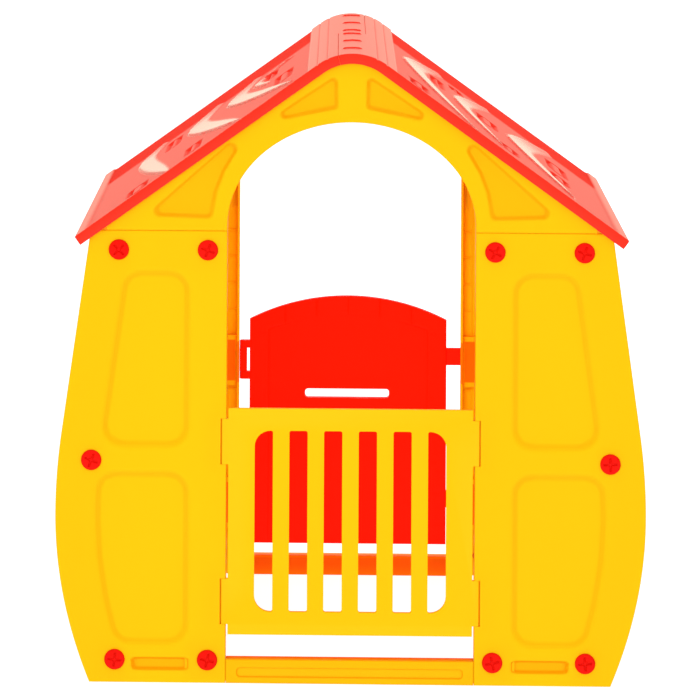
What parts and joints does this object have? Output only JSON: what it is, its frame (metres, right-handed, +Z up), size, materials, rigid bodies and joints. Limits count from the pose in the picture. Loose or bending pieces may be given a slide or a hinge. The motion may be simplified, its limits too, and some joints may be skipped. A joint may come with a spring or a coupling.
{
  "type": "plastic playhouse",
  "caption": "Child-size plastic house: bulging walls, pitched lapped roof, arched doorways, picket gate, half door with a mail slot and shuttered side windows.",
  "frame": {"origin": "on the ground, in the middle of the footprint", "axes": "+Z up; X runs across the gable faces; the gate face looks along -Y and the door face along +Y"},
  "size_m": [1.02, 0.9, 1.0899],
  "materials": {
    "yellow_plastic": "satin moulded polyethylene",
    "red_plastic": "satin moulded polyethylene",
    "hinge_pin": "drawn wire"
  },
  "bodies": {
    "house": {"front_left_panel": "yellow_plastic", "front_right_panel": "yellow_plastic", "front_gable": "yellow_plastic", "front_sill": "yellow_plastic", "back_left_panel": "yellow_plastic", "back_right_panel": "yellow_plastic", "back_gable": "yellow_plastic", "back_sill": "yellow_plastic", "left_side_wall": "yellow_plastic", "right_side_wall": "yellow_plastic", "roof_left": "red_plastic", "roof_right": "red_plastic", "door_bracket_lower": "red_plastic", "door_bracket_upper": "red_plastic", "bolt_front_left_outer_top": "red_plastic", "bolt_front_left_inner_top": "red_plastic", "bolt_front_left_middle": "red_plastic", "bolt_front_left_outer_foot": "red_plastic", "bolt_front_left_inner_foot": "red_plastic", "bolt_front_right_outer_top": "red_plastic", "bolt_front_right_inner_top": "red_plastic", "bolt_front_right_middle": "red_plastic", "bolt_front_right_outer_foot": "red_plastic", "bolt_front_right_inner_foot": "red_plastic", "bolt_back_left_outer_top": "red_plastic", "bolt_back_left_inner_top": "red_plastic", "bolt_back_left_middle": "red_plastic", "bolt_back_left_outer_foot": "red_plastic", "bolt_back_left_inner_foot": "red_plastic", "bolt_back_right_outer_top": "red_plastic", "bolt_back_right_inner_top": "red_plastic", "bolt_back_right_middle": "red_plastic", "bolt_back_right_outer_foot": "red_plastic", "bolt_back_right_inner_foot": "red_plastic", "gate_pin_lower": "hinge_pin", "gate_pin_upper": "hinge_pin", "door_pin_lower": "hinge_pin", "door_pin_upper": "hinge_pin", "left_front_shutter_pin": "hinge_pin", "left_back_shutter_pin": "hinge_pin", "right_front_shutter_pin": "hinge_pin", "right_back_shutter_pin": "hinge_pin"},
    "gate": {"front_gate": "yellow_plastic"},
    "door": {"back_door": "red_plastic"},
    "left_front_shutter_leaf": {"left_front_shutter": "red_plastic"},
    "left_back_shutter_leaf": {"left_back_shutter": "red_plastic"},
    "right_front_shutter_leaf": {"right_front_shutter": "red_plastic"},
    "right_back_shutter_leaf": {"right_back_shutter": "red_plastic"}
  },
  "joints": [
    {"name": "gate_hinge", "type": "hinge", "parent": "house", "child": "gate", "pos_m": [-0.2175, -0.4355, 0.28], "axis": [0, 0, -1], "range_deg": [0, 95]},
    {"name": "door_hinge", "type": "hinge", "parent": "house", "child": "door", "pos_m": [-0.2066, 0.4315, 0.28], "axis": [0, 0, 1], "range_deg": [0, 95]},
    {"name": "left_front_shutter_hinge", "type": "hinge", "parent": "house", "child": "left_front_shutter_leaf", "pos_m": [-0.4793, -0.143, 0.54493], "axis": [0.1386, 0, 0.9903], "range_deg": [0, 110]},
    {"name": "left_back_shutter_hinge", "type": "hinge", "parent": "house", "child": "left_back_shutter_leaf", "pos_m": [-0.4793, 0.143, 0.54493], "axis": [-0.1386, 0, -0.9903], "range_deg": [0, 110]},
    {"name": "right_front_shutter_hinge", "type": "hinge", "parent": "house", "child": "right_front_shutter_leaf", "pos_m": [0.4793, -0.143, 0.54493], "axis": [0.1386, 0, -0.9903], "range_deg": [0, 110]},
    {"name": "right_back_shutter_hinge", "type": "hinge", "parent": "house", "child": "right_back_shutter_leaf", "pos_m": [0.4793, 0.143, 0.54493], "axis": [-0.1386, 0, 0.9903], "range_deg": [0, 110]}
  ]
}
